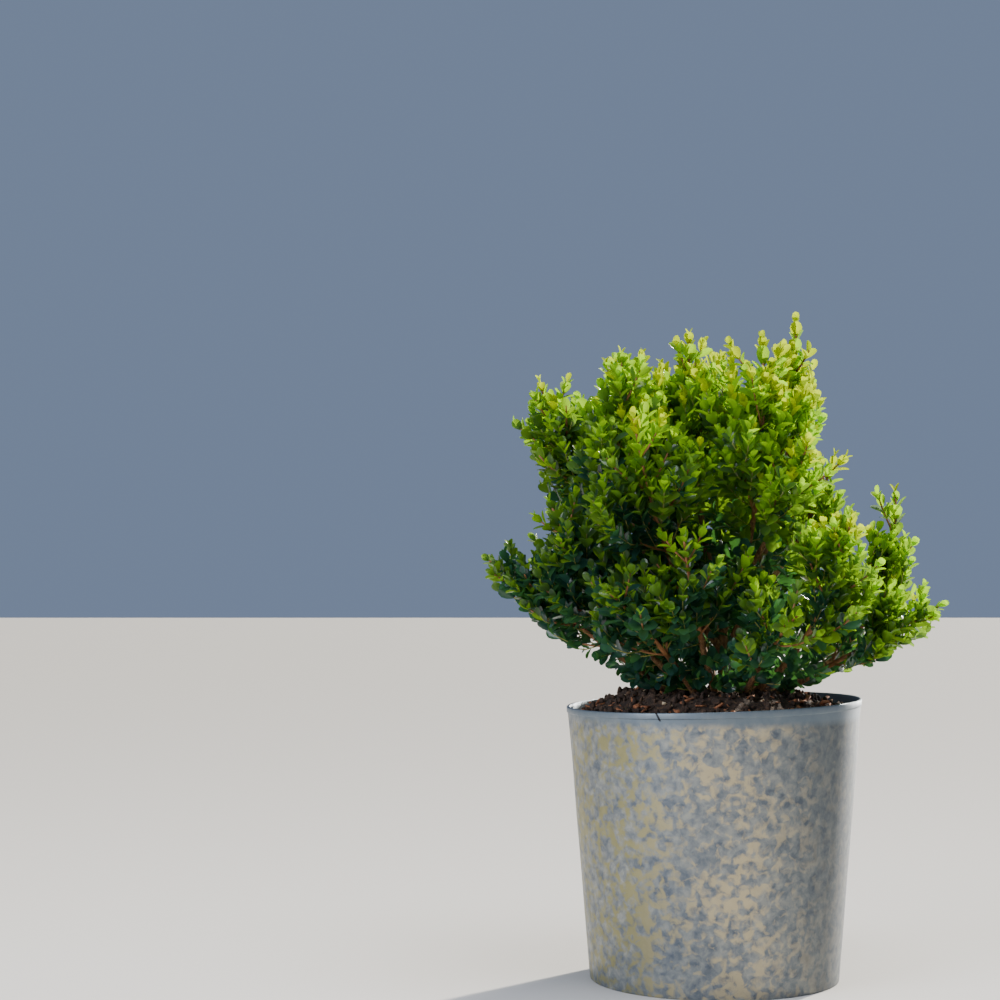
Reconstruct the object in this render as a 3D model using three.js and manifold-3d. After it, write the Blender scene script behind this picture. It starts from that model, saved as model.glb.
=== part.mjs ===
// A loosely grown box shrub in a round tub of galvanised sheet, filled with soil.
// Millimetres, +Z up. The origin is the centre of the tub's flat underside.
// The shrub is seen in outline along +Y: -X is its left and +X its right.

import * as THREE from 'three';
import { mergeVertices } from 'three/addons/utils/BufferGeometryUtils.js';
import Module from 'manifold-3d';

const wasm = await Module();
wasm.setup();

// Tub and soil

const TUB = {
  rimRadius: 160,
  baseRadius: 135,
  height: 300,
  sheet: 2,
  floor: 3,
  hemHeight: 7,
  hemDepth: 0.6,
  rimSlope: 5,
  sides: 40,
};
const SOIL = {
  top: 309,
  edgeTop: 287,
  flatRadius: 84,
  rings: 3,
  gapToTub: 0.9,
  roughness: 3,
};

// Fit between pieces that touch

const GAP = 0.3;

// Trunk: a short stem with a flare at the soil

const TRUNK = {
  foot: [10, 0, SOIL.top + GAP],
  bend: [13, 1, 350],
  top: [7, 2, 396],
  radius: [6.2, 5.4],
  flare: 3.6,
  flareHeight: 12,
  sides: 8,
  steps: 6,
};

// Crown: rings of limbs. Each ring gives, to the left, to the right and to the front and
// back, the elevation in degrees and the reach of its outermost leaves from the crown's
// foot, how far the limb bows below its chord as a share of the chord, and how far its
// foliage spreads beside it.

const CROWN_FOOT = new THREE.Vector3(0, 0, 330);
const RINGS = [
  {
    name: 'leader', count: 1, firstTurn: 180, from: 'trunk top',
    left: [86, 377, 0.03, 85], right: [86, 377, 0.03, 85], side: [86, 377, 0.03, 85],
    radius: [5, 3.2], boughShare: 0.44,
  },
  {
    name: 'crown', count: 5, firstTurn: 0, from: 'trunk',
    left: [68.5, 368, 0.12, 85], right: [77, 402, 0.06, 25], side: [72, 372, 0.12, 85],
    radius: [4.4, 3.1], boughShare: 0.42,
  },
  {
    name: 'shoulder', count: 6, firstTurn: 0, from: 'crown', forkShare: 0.14, forkStagger: 0.06,
    left: [59.5, 376, 0.1, 44], right: [61, 277, 0.06, 36], side: [55, 328, 0.06, 95],
    radius: [3.6, 2.8], boughShare: 0.36,
  },
  {
    name: 'waist', count: 7, firstTurn: 0, from: 'soil', footDistance: 26,
    left: [45, 286, 0.06, 90], right: [46, 286, 0.2, 34], side: [40, 248, 0.06, 76],
    radius: [4.2, 3], boughShare: 0.44,
  },
  {
    name: 'skirt', count: 7, firstTurn: -18, from: 'soil', footDistance: 46,
    left: [27, 284, 0, 44], right: [17.4, 266, 0, 50], side: [19, 228, -0.04, 100],
    radius: [3.6, 2.8], boughShare: 0.36,
  },
];
const RING_JITTER = { turn: 9, elevation: 4, reach: 0.05 };
const TRUNK_FORKS = { lowest: 348, highest: 384 };
const BASAL_DEPTH = 9;
const BOUGH_SIDES = 6;
const BOUGH_STEPS = 3;

// Foliage: twigs in opposite pairs that turn a quarter from pair to pair, with larger
// than life leaves that each stand for a tuft

const STEM = { tipRadius: 1.8, sides: 4, leafShare: 0.8, leafTurns: [45, 225] };
const TWIG = {
  spacing: 48,
  fewestPairs: 3,
  firstShare: 0.04,
  lastShare: 0.72,
  length: 108,
  shortening: 0.36,
  lengthJitter: 0.3,
  turnJitter: 20,
  spread: 46,
  rise: 0.8,
  radius: [1.2, 1.2],
  sides: 3,
  leafShare: 0.42,
  leafTurns: [30, 150],
  triedSizes: [1, 0.8, 0.64, 0.52],
};
const LEAF = {
  length: 52,
  width: 32,
  depth: 1.2,
  widest: 0.6,
  bluntness: 0.42,
  petiole: 0.55,
  sides: 3,
  spread: 52,
  rise: 0.15,
  triedSizes: [1, 0.75],
};
const TRIED_NUDGES = [0, 22, -22, 44, -44];
const AXIS_STEPS = 14;
const SPACE_MARGIN = 1.2;
const LIMB_CLEARANCE = 1;
const UNDERSIDE = { height: SOIL.top + 4, radius: 95, slopes: [0.75, 0.38] };
const OUTLINE = { allowance: 2, rounding: 0.6 };
const SMALLEST_FACE = 0.05;

const materials = {
  zinc: new THREE.MeshStandardMaterial({ color: 0x8f9698, roughness: 0.42, metalness: 0.85 }),
  soil: new THREE.MeshStandardMaterial({ color: 0x2a1d16, roughness: 0.95, metalness: 0 }),
  bark: new THREE.MeshStandardMaterial({ color: 0x7a5a3a, roughness: 0.8, metalness: 0 }),
  leaf: new THREE.MeshStandardMaterial({ color: 0x3f6a1f, roughness: 0.4, metalness: 0 }),
};

// Numbers that vary by a seeded rule, the same on every run
function seededDraws(seed) {
  let state = Math.imul(seed + 1, 2654435761) >>> 0;
  const draw = () => {
    state = (Math.imul(state, 1664525) + 1013904223) >>> 0;
    return state / 4294967296;
  };
  for (let warmUp = 0; warmUp < 4; warmUp += 1) draw();
  return draw;
}

const radians = THREE.MathUtils.degToRad;
const mix = THREE.MathUtils.lerp;
const UP = new THREE.Vector3(0, 0, 1);

// Solids

function weld(geometry) {
  geometry.deleteAttribute('normal');
  geometry.deleteAttribute('uv');
  return mergeVertices(geometry);
}

function moveVertices(geometry, place) {
  const position = geometry.attributes.position;
  const vertex = new THREE.Vector3();
  for (let i = 0; i < position.count; i += 1) {
    vertex.fromBufferAttribute(position, i);
    place(vertex);
    position.setXYZ(i, vertex.x, vertex.y, vertex.z);
  }
  return geometry;
}

function toSolid(geometry) {
  return new wasm.Manifold(new wasm.Mesh({
    numProp: 3,
    vertProperties: new Float32Array(geometry.attributes.position.array),
    triVerts: new Uint32Array(geometry.index.array),
  }));
}

function toGeometry(solid) {
  const { vertProperties, triVerts } = solid.getMesh();
  const geometry = new THREE.BufferGeometry();
  geometry.setAttribute('position', new THREE.BufferAttribute(vertProperties, 3));
  geometry.setIndex(new THREE.BufferAttribute(triVerts, 1));
  return geometry;
}

// Keeps the one body that carries everything and drops loose scraps
function largestBody(solid) {
  const bodies = solid.decompose();
  return bodies.reduce((largest, body) => (body.volume() > largest.volume() ? body : largest));
}

// A flat-sided tube along a planar curve. Each ring has its share of the curve, its width
// across the curve's plane and its depth in it. `margin` grows the tube all round.
function tube(curve, rings, sides, margin = 0) {
  const planeNormal = planeNormalOf(curve);
  const geometry = weld(new THREE.CylinderGeometry(1, 1, 1, sides, rings.length - 1));
  const tangent = new THREE.Vector3();
  const inPlane = new THREE.Vector3();
  return moveVertices(geometry, (vertex) => {
    const { x, y, z } = vertex;
    const ring = rings[Math.round((y + 0.5) * (rings.length - 1))];
    curve.getTangent(ring.share, tangent);
    inPlane.crossVectors(tangent, planeNormal);
    curve.getPoint(ring.share, vertex);
    vertex.addScaledVector(planeNormal, -x * (ring.width + margin))
      .addScaledVector(inPlane, z * (ring.depth + margin))
      .addScaledVector(tangent, Math.trunc(2 * y) * margin);
  });
}

function evenRings(from, to, steps, radiusAt) {
  return Array.from({ length: steps + 1 }, (_, step) => {
    const radius = radiusAt(step / steps);
    return { share: mix(from, to, step / steps), width: radius, depth: radius };
  });
}

function planeNormalOf(curve) {
  const normal = new THREE.Vector3().crossVectors(
    curve.v1.clone().sub(curve.v0),
    curve.v2.clone().sub(curve.v0),
  );
  return normal.lengthSq() > 1 ? normal.normalize() : new THREE.Vector3(0, 1, 0);
}

// Tub: sheet wall with a folded hem round a rim that is a little out of level
function tubGeometry() {
  const { rimRadius, baseRadius, height, sheet, floor, hemHeight, hemDepth } = TUB;
  const wallTop = rimRadius - hemDepth;
  const profile = [
    [0, 0],
    [baseRadius, 0],
    [wallTop, height - hemHeight],
    [rimRadius, height - hemHeight + hemDepth],
    [rimRadius, height - hemDepth],
    [rimRadius - hemDepth, height],
    [wallTop - sheet, height],
    [baseRadius - sheet, floor],
    [0, floor],
  ].map(([radius, z]) => new THREE.Vector2(radius, z));
  const geometry = weld(new THREE.LatheGeometry(profile, TUB.sides).rotateX(Math.PI / 2));
  return moveVertices(geometry, (vertex) => {
    vertex.z += TUB.rimSlope * (vertex.x / rimRadius) * (vertex.z / height) ** 4;
  });
}

// Soil: fills the tub up to a low mound, flat where the stems stand on it
function soilGeometry() {
  const { sheet, floor, baseRadius, rimRadius, height, hemDepth } = TUB;
  const { top, edgeTop, flatRadius, rings, gapToTub, roughness } = SOIL;
  const wallSlope = (rimRadius - hemDepth - baseRadius) / height;
  const radiusInside = (z) => baseRadius - sheet + wallSlope * z - gapToTub;
  const edgeRadius = radiusInside(edgeTop);
  const profile = [[0, floor + GAP], [radiusInside(floor), floor + GAP], [edgeRadius, edgeTop]];
  for (let ring = 1; ring <= rings; ring += 1) {
    const share = ring / rings;
    const fall = (1 + Math.cos(Math.PI * share)) / 2;
    profile.push([mix(edgeRadius, flatRadius, share), mix(top, edgeTop, fall)]);
  }
  profile.push([0, top]);
  const points = profile.map(([radius, z]) => new THREE.Vector2(radius, z));
  const geometry = weld(new THREE.LatheGeometry(points, TUB.sides).rotateX(Math.PI / 2));
  const draw = seededDraws(7);
  return moveVertices(geometry, (vertex) => {
    const radius = Math.hypot(vertex.x, vertex.y);
    const onSlope = radius > flatRadius + 1 && radius < edgeRadius - 1 && vertex.z > floor + 1;
    if (onSlope) vertex.z += roughness * (2 * draw() - 1);
  });
}

// Trunk
const trunkCurve = new THREE.QuadraticBezierCurve3(
  ...[TRUNK.foot, TRUNK.bend, TRUNK.top].map((point) => new THREE.Vector3(...point)),
);

function trunkSolid(margin = 0) {
  const length = trunkCurve.getLength();
  const radiusAt = (along) => mix(...TRUNK.radius, along)
    + TRUNK.flare * Math.exp(-along * length / TRUNK.flareHeight);
  const geometry = tube(trunkCurve, evenRings(0, 1, TRUNK.steps, radiusAt), TRUNK.sides, margin);
  const footZ = TRUNK.foot[2];
  return toSolid(moveVertices(geometry, (vertex) => {
    if (vertex.z < footZ + 1.5) vertex.z = footZ;
  }));
}

// Limbs

function ringPlace(ring, turn) {
  const toRight = Math.cos(radians(turn));
  const outlineWeight = toRight ** 2;
  const outline = toRight > 0 ? ring.right : ring.left;
  return {
    elevation: mix(ring.side[0], outline[0], outlineWeight),
    reach: mix(ring.side[1], outline[1], outlineWeight),
    bow: mix(ring.side[2], outline[2], outlineWeight),
    width: mix(ring.side[3], outline[3], outlineWeight),
    sideWeight: 1 - outlineWeight,
  };
}

function nearestByTurn(limbs, turn) {
  const apart = (limb) => Math.abs(((limb.turn - turn + 540) % 360) - 180);
  return limbs.reduce((nearest, limb) => (apart(limb) < apart(nearest) ? limb : nearest));
}

function limbStart(ring, index, turn, limbs) {
  if (ring.from === 'trunk top') {
    return { start: trunkCurve.getPoint(0.97), parent: 'trunk' };
  }
  if (ring.from === 'trunk') {
    const share = (index * 2 % ring.count) / (ring.count - 1);
    const height = mix(TRUNK_FORKS.lowest, TRUNK_FORKS.highest, share);
    const along = (height - TRUNK.foot[2]) / (TRUNK.top[2] - TRUNK.foot[2]);
    return { start: trunkCurve.getPoint(along), parent: 'trunk' };
  }
  if (ring.from === 'soil') {
    const angle = radians(turn);
    const start = new THREE.Vector3(
      TRUNK.foot[0] + ring.footDistance * Math.cos(angle),
      TRUNK.foot[1] + ring.footDistance * Math.sin(angle),
      SOIL.top - BASAL_DEPTH,
    );
    return { start, parent: 'soil' };
  }
  const parent = nearestByTurn(limbs.filter((limb) => limb.ring.name === ring.from), turn);
  const forkShare = ring.forkShare + ring.forkStagger * (index % 2);
  return { start: parent.curve.getPoint(forkShare), parent };
}

// The chord bows outwards and down, so that a limb spreads first and then rises
function limbCurve(start, tip, bow) {
  const chord = tip.clone().sub(start);
  const level = new THREE.Vector3().crossVectors(chord, UP).normalize();
  const below = new THREE.Vector3().crossVectors(level, chord).normalize();
  if (below.z > 0) below.negate();
  const control = start.clone().addScaledVector(chord, 0.5)
    .addScaledVector(below, 2 * bow * chord.length());
  return new THREE.QuadraticBezierCurve3(start, control, tip);
}

function growLimbs() {
  const limbs = [];
  for (const ring of RINGS) {
    for (let index = 0; index < ring.count; index += 1) {
      const draw = seededDraws(100 + limbs.length);
      const evenTurn = ring.firstTurn + 360 * index / ring.count;
      const { elevation, reach, bow, width, sideWeight } = ringPlace(ring, evenTurn);
      const vary = () => sideWeight * (2 * draw() - 1);
      const turn = evenTurn + RING_JITTER.turn * vary();
      const rise = radians(elevation + RING_JITTER.elevation * vary());
      const tipReach = reach * (1 + RING_JITTER.reach * vary());
      const tip = new THREE.Vector3().setFromSphericalCoords(tipReach, Math.PI / 2 - rise, 0);
      tip.set(tip.z, 0, tip.y).applyAxisAngle(UP, radians(turn)).add(CROWN_FOOT);
      const { start, parent } = limbStart(ring, index, turn, limbs);
      const curve = limbCurve(start, tip, bow);
      limbs.push({
        name: ring.count === 1 ? ring.name : `${ring.name}_${index + 1}`,
        ring, turn, parent, curve, width, draw,
        length: curve.getLength(),
        reach: tip.distanceTo(CROWN_FOOT),
        axis: curve.getPoints(AXIS_STEPS),
      });
    }
  }
  return limbs;
}

function boughSolid(limb, margin = 0) {
  const { radius, boughShare } = limb.ring;
  const rings = evenRings(0, boughShare, BOUGH_STEPS, (along) => mix(...radius, along));
  return toSolid(tube(limb.curve, rings, BOUGH_SIDES, margin));
}

// Room for foliage: each mass keeps to the space nearest to its own limb, inside a plume
// round it, above the crown's rising underside and clear of every limb

const limbs = growLimbs();
const trunkAxis = trunkCurve.getPoints(AXIS_STEPS);

function distanceToAxis(point, axis) {
  const line = new THREE.Line3();
  const nearest = new THREE.Vector3();
  let distance = Infinity;
  for (let i = 1; i < axis.length; i += 1) {
    line.set(axis[i - 1], axis[i]).closestPointToPoint(point, true, nearest);
    distance = Math.min(distance, nearest.distanceTo(point));
  }
  return distance;
}

// The plume of a limb rounds off to its tip; the underside is flatter on the right
function isInOutline(point, limb, own) {
  const spread = Math.hypot(point.x, point.y);
  const slope = mix(...UNDERSIDE.slopes, 0.5 + 0.5 * point.x / Math.max(spread, 1));
  const lowest = UNDERSIDE.height + slope * Math.max(0, spread - UNDERSIDE.radius);
  const reach = limb.reach - OUTLINE.rounding * own ** 2 / limb.width + OUTLINE.allowance;
  return point.z > lowest && own < limb.width && point.distanceTo(CROWN_FOOT) < reach;
}

function isInOwnSpace(point, limb, own) {
  return limbs.every((other) => {
    if (other === limb) return true;
    const distance = distanceToAxis(point, other.axis);
    return distance > own + 2 * SPACE_MARGIN && distance > other.ring.radius[0] + LIMB_CLEARANCE;
  });
}

function hasRoom(points, limb) {
  const ownBough = limb.axis.slice(0, Math.ceil(limb.ring.boughShare * AXIS_STEPS) + 1);
  return points.every((point) => {
    const own = distanceToAxis(point, limb.axis);
    return isInOutline(point, limb, own)
      && distanceToAxis(point, trunkAxis) > TRUNK.radius[0] + LIMB_CLEARANCE
      && distanceToAxis(point, ownBough) > limb.ring.radius[1] + LIMB_CLEARANCE
      && isInOwnSpace(point, limb, own);
  });
}

// A mass is a list of growths: its stem, twigs and leaves, each with the point it roots in
// and the growth that carries it. It may meet only its carrier and what shares its root.

function growth(geometry, root = null, carrier = null) {
  geometry.computeBoundingBox();
  return { solid: toSolid(geometry), box: geometry.boundingBox, root, carrier };
}

function isClearOfMass(candidate, mass) {
  return mass.every((other) => other === candidate.carrier
    || (other.root && other.root.equals(candidate.root))
    || !other.box.intersectsBox(candidate.box)
    || other.solid.intersect(candidate.solid).isEmpty());
}

// Directions that lean from a tangent to one side of it
function perpendicularTo(tangent, turn) {
  const across = new THREE.Vector3().crossVectors(tangent, UP);
  if (across.lengthSq() < 0.01) across.set(1, 0, 0).cross(tangent);
  return across.normalize().applyAxisAngle(tangent, radians(turn));
}

function lean(tangent, turn, spread) {
  return tangent.clone().multiplyScalar(Math.cos(radians(spread)))
    .addScaledVector(perpendicularTo(tangent, turn), Math.sin(radians(spread)));
}

// A shoot's flat end is a keeled leaf with a blunt tip, widest beyond its middle
function leafRings(size, curveLength) {
  const shareAt = (part) => 1 - (1 - part) * LEAF.length * size / curveLength;
  const half = LEAF.width * size / 2;
  return [
    { share: shareAt(LEAF.widest), width: half, depth: LEAF.depth },
    { share: 1, width: half * LEAF.bluntness, depth: LEAF.depth / 2 },
  ];
}

function shootRings(from, radius, curveLength, size) {
  const leafStart = 1 - LEAF.length * size / curveLength;
  return [
    ...evenRings(from, leafStart, 2, (along) => mix(...radius, along)),
    ...leafRings(size, curveLength),
  ];
}

function cornersAndMiddles(geometry) {
  const position = geometry.attributes.position;
  const corners = Array.from({ length: position.count },
    (_, i) => new THREE.Vector3().fromBufferAttribute(position, i));
  const middles = corners.flatMap((a, i) => corners.slice(i + 1).map((b) => a.clone().lerp(b, 0.5)));
  return [...corners, ...middles];
}

// Where a twig or leaf has no room it is tried a little to each side, and then smaller
function firstWithRoom(sizes, make) {
  for (const size of sizes) {
    for (const nudge of TRIED_NUDGES) {
      const made = make(size, nudge);
      if (made) return made;
    }
  }
  return null;
}

function addLeaf(mass, limb, carrier, { root, tangent, turn, spread }) {
  firstWithRoom(LEAF.triedSizes, (size, nudge) => {
    const direction = lean(tangent, turn + nudge, spread);
    const length = LEAF.length * size;
    const curve = new THREE.QuadraticBezierCurve3(
      root,
      root.clone().addScaledVector(direction, length / 2),
      root.clone().addScaledVector(direction, length).addScaledVector(tangent, LEAF.rise * length),
    );
    const petiole = { share: 0, width: LEAF.petiole, depth: LEAF.petiole };
    const geometry = tube(curve, [petiole, ...leafRings(size, length)], LEAF.sides);
    if (!hasRoom(cornersAndMiddles(geometry), limb)) return null;
    const leaf = growth(geometry, root, carrier);
    return isClearOfMass(leaf, mass) ? mass.push(leaf) : null;
  });
}

function twigCurve(start, stemTangent, turn, length) {
  const heading = lean(stemTangent, turn, TWIG.spread);
  const bend = start.clone().addScaledVector(heading, length / 2);
  const risen = heading.clone().addScaledVector(UP, TWIG.rise).normalize();
  return new THREE.QuadraticBezierCurve3(start, bend, bend.clone().addScaledVector(risen, length / 2));
}

function addTwig(mass, limb, share, turn, length) {
  const start = limb.curve.getPoint(share);
  const stemTangent = limb.curve.getTangent(share);
  return firstWithRoom(TWIG.triedSizes, (shorter, nudge) => {
    const curve = twigCurve(start, stemTangent, turn + nudge, length * shorter);
    const rings = shootRings(0, TWIG.radius, curve.getLength(), shorter);
    const geometry = tube(curve, rings, TWIG.sides);
    const beyondRoot = curve.getPoints(6).slice(2);
    const leafPoints = cornersAndMiddles(tube(curve, rings.slice(-3), TWIG.sides));
    if (!hasRoom([...beyondRoot, ...leafPoints], limb)) return null;
    const twig = { ...growth(geometry, start, mass[0]), curve };
    if (!isClearOfMass(twig, mass)) return null;
    mass.push(twig);
    return twig;
  });
}

// Twigs leave the stem in opposite pairs, each pair a quarter turn on from the last
function growTwigs(mass, limb, stemStart) {
  const stemLength = limb.length * (1 - stemStart);
  const pairs = Math.max(TWIG.fewestPairs, Math.round(stemLength / TWIG.spacing));
  for (let pair = 0; pair < pairs; pair += 1) {
    const progress = pair / (pairs - 1);
    const share = mix(stemStart, 1, mix(TWIG.firstShare, TWIG.lastShare, progress));
    for (const side of [0, 180]) {
      const turn = 45 + 90 * pair + side + TWIG.turnJitter * (limb.draw() - 0.5);
      const lengthJitter = 1 + TWIG.lengthJitter * (limb.draw() - 0.5);
      addTwig(mass, limb, share, turn, TWIG.length * (1 - TWIG.shortening * progress) * lengthJitter);
    }
  }
}

function addLeafPair(mass, limb, carrier, share, turns) {
  const root = carrier.curve.getPoint(share);
  const tangent = carrier.curve.getTangent(share);
  for (const turn of turns) {
    addLeaf(mass, limb, carrier, { root, tangent, turn, spread: LEAF.spread });
  }
}

function foliageSolid(limb) {
  const stemStart = limb.ring.boughShare + GAP / limb.length;
  const stemRadius = [limb.ring.radius[1], STEM.tipRadius];
  const stemRings = shootRings(stemStart, stemRadius, limb.length, 1);
  const stem = { ...growth(tube(limb.curve, stemRings, STEM.sides)), curve: limb.curve };
  const mass = [stem];
  growTwigs(mass, limb, stemStart);
  const twigs = mass.slice(1);
  addLeafPair(mass, limb, stem, STEM.leafShare, STEM.leafTurns);
  for (const twig of twigs) addLeafPair(mass, limb, twig, TWIG.leafShare, TWIG.leafTurns);
  return largestBody(wasm.Manifold.union(mass.map(({ solid }) => solid)).simplify(SMALLEST_FACE));
}

// Assembly

const shrub = new THREE.Group();

function addPiece(name, geometry, material) {
  const mesh = new THREE.Mesh(geometry, material.clone());
  mesh.name = name;
  shrub.add(mesh);
}

addPiece('tub', tubGeometry(), materials.zinc);
addPiece('soil', soilGeometry(), materials.soil);
addPiece('trunk', toGeometry(trunkSolid()), materials.bark);

const groundBlock = toSolid(weld(
  new THREE.BoxGeometry(2 * TUB.rimRadius, 2 * TUB.rimRadius, 40).translate(0, 0, SOIL.top + GAP - 20),
));

for (const limb of limbs) {
  let bough = boughSolid(limb);
  if (limb.parent === 'trunk') bough = bough.subtract(trunkSolid(GAP));
  else if (limb.parent === 'soil') bough = bough.subtract(groundBlock);
  else bough = bough.subtract(boughSolid(limb.parent, GAP));
  addPiece(`bough_${limb.name}`, toGeometry(largestBody(bough)), materials.bark);
  addPiece(`foliage_${limb.name}`, toGeometry(foliageSolid(limb)), materials.leaf);
}

export default shrub;
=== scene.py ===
import math

import bmesh
import bpy
import numpy as np
from mathutils import Matrix, Quaternion, Vector, noise


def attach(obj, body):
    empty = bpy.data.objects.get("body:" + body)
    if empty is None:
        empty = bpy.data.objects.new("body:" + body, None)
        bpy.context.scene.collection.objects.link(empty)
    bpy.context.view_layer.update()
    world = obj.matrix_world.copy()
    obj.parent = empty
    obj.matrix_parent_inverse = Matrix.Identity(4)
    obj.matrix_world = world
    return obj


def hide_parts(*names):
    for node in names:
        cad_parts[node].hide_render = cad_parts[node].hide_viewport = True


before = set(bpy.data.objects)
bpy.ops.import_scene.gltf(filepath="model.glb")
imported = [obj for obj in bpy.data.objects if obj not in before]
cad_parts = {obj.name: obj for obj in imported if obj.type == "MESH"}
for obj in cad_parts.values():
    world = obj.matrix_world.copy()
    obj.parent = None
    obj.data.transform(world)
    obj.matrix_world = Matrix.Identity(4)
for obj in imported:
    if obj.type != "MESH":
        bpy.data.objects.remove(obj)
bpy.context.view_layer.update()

# A loosely grown box shrub in a round tub of galvanised sheet. Sizes are in millimetres and
# angles in degrees; a mesh is turned to metres when its object is made.

MM = 0.001
UP = Vector((0, 0, 1))

# Tub and soil

TUB_RIM_RADIUS = 160
TUB_BASE_RADIUS = 135
TUB_HEIGHT = 300
TUB_SHEET = 2
TUB_FLOOR = 3
BASE_EDGE_RADIUS = 1.5
HEM_HEIGHT = 7
HEM_DEPTH = 0.6
HEM_LIP_RADIUS = 0.7
HEM_LIP_RISE = 0.9
RIM_SLOPE = 5
DENT_SIZE = 70
DENT_SHARE = 0.004
DENTS_START = 20
TUB_TURNS = 160
WALL_STEPS = 24

# The split in the rim runs where x + SPLIT_SLANT * z is SPLIT_LINE, and fades in over SPLIT_FOOT

SPLIT_LINE = 76.6
SPLIT_SLANT = 0.5
SPLIT_HALF_WIDTH = 1.1
SPLIT_FOOT = (288.5, 290)

# Lumps of the soil are pairs of height and width, and fade out beside the tub's wall

SOIL_TOP = 309
SOIL_EDGE_TOP = 287
SOIL_FLAT_RADIUS = 84
SOIL_GAP_TO_TUB = 0.9
SOIL_LUMPS = ((4.4, 21), (2.6, 8), (1, 3.4))
SOIL_LUMPS_FADE = 6
SOIL_TURNS = 180
SOIL_STEPS = 64
GAP = 0.3

LITTER_MARGIN = 10
LITTER_LIFT = 0.3
LITTER_WIDTHS = (0.3, 0.5)
CHIP_TAPERS = (0.55, 0.5)
CRUMB_RELIEF = 0.35

# Trunk and boughs. A flare is how much thicker a stem is at its foot, and how soon that fades.

TRUNK_FOOT = Vector((10, 0, SOIL_TOP + GAP))
TRUNK_BEND = Vector((13, 1, 350))
TRUNK_TOP = Vector((7, 2, 396))
TRUNK_RADIUS = (6.2, 5.4)
TRUNK_FLARE = (3.6, 12)
TRUNK_FORKS = (348, 384)
TRUNK_SIDES = 18
TRUNK_RING_SPACING = 3
LEADER_START = 0.97
BOUGH_FLARE = (1.2, 7)
BOUGH_SIDES = 12
BOUGH_RING_SPACING = 4
RIDGE_SHARE = 0.16
RIDGE_FINENESS = 2.2
RIDGE_LENGTH = 26
LUMP_SHARE = 0.06
LUMP_LENGTH = 9

# Crown: rings of limbs, by the rule of the solids. Each ring gives, to the left, to the right
# and to the front and back, the elevation and reach of its limbs, how far they bow and how
# far their foliage spreads beside them.

CROWN_FOOT = Vector((0, 0, 330))
RINGS = [
    {"name": "leader", "count": 1, "first_turn": 180, "source": "trunk top",
     "left": (86, 377, 0.03, 85), "right": (86, 377, 0.03, 85), "side": (86, 377, 0.03, 85),
     "radius": (5, 3.2), "bough_share": 0.44, "basal_length": 84},
    {"name": "crown", "count": 5, "first_turn": 0, "source": "trunk",
     "left": (68.5, 368, 0.12, 85), "right": (77, 402, 0.06, 25), "side": (72, 372, 0.12, 85),
     "radius": (4.4, 3.1), "bough_share": 0.42, "basal_length": 84},
    {"name": "shoulder", "count": 6, "first_turn": 0, "source": "crown",
     "fork_share": 0.14, "fork_stagger": 0.06,
     "left": (59.5, 376, 0.1, 44), "right": (61, 277, 0.06, 36), "side": (55, 328, 0.06, 95),
     "radius": (3.6, 2.8), "bough_share": 0.36, "basal_length": 72},
    {"name": "waist", "count": 7, "first_turn": 0, "source": "soil", "foot_distance": 26,
     "left": (45, 286, 0.06, 90), "right": (46, 286, 0.2, 34), "side": (40, 248, 0.06, 76),
     "radius": (4.2, 3), "bough_share": 0.44, "basal_length": 56},
    {"name": "skirt", "count": 7, "first_turn": -18, "source": "soil", "foot_distance": 46,
     "left": (27, 284, 0, 44), "right": (17.4, 266, 0, 50), "side": (19, 228, -0.04, 100),
     "radius": (3.6, 2.8), "bough_share": 0.36, "basal_length": 46},
]
LIMB_SEED = 100
TURN_JITTER = 9
ELEVATION_JITTER = 4
REACH_JITTER = 0.05
BASAL_DEPTH = 9
AXIS_STEPS = 14
LENGTH_STEPS = 24

# Twigs, by the rule of the solids, and the finer shoots that they carry

SPRAY_SEED = 500
STEM_TIP_RADIUS = 1.3
FIRST_TURN = 45
TWIG_SPACING = 48
TWIG_FEWEST_PAIRS = 3
TWIG_SHARES = (0.04, 0.72)
TWIG_LENGTH = 108
TWIG_SHORTENING = 0.36
TWIG_LENGTH_JITTER = 0.3
TWIG_TURN_JITTER = 20
TWIG_SPREAD = 46
TWIG_RISE = 0.8
TWIG_RADIUS = (1.3, 0.8)
TWIG_TRIED_SIZES = (1, 0.8, 0.64, 0.52)
TRIED_NUDGES = (0, 22, -22, 44, -44)
TRIED_STEPS = 6
FIRST_TRIED_STEP = 2

SHOOT_SPACING = 15
SHOOT_SHARES = (0.12, 0.9)
STEM_SHOOTS_START = 0.1
SHOOT_LENGTH = 84
SHOOT_SHORTENING = 0.3
SHOOT_LENGTH_JITTER = 0.5
SHOOT_TURN_JITTER = 40
SHOOT_SPREAD = 30
SHOOT_RISE = 1.5
SHOOT_RADIUS = (0.75, 0.45)
SHOOT_TRIED_SIZES = (1, 0.72, 0.5)

BASAL_SHARES = (0.1, 0.94)
BASAL_SPACING = 15
BASAL_SPREAD = 62
BASAL_RISE = 0.1

SPACE_OVERLAP = 40
LIMB_CLEARANCE = 1
UNDERSIDE_HEIGHT = SOIL_TOP + 4
UNDERSIDE_RADIUS = 95
UNDERSIDE_SLOPES = (0.75, 0.38)
OUTLINE_ALLOWANCE = 2
ROUNDING = 0.6
SPIRE_SHORTFALL = 52
SHOOT_SHORTFALL = 16

# Leaves: opposite pairs, each pair a quarter turn on from the last, smaller towards the tip

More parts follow.
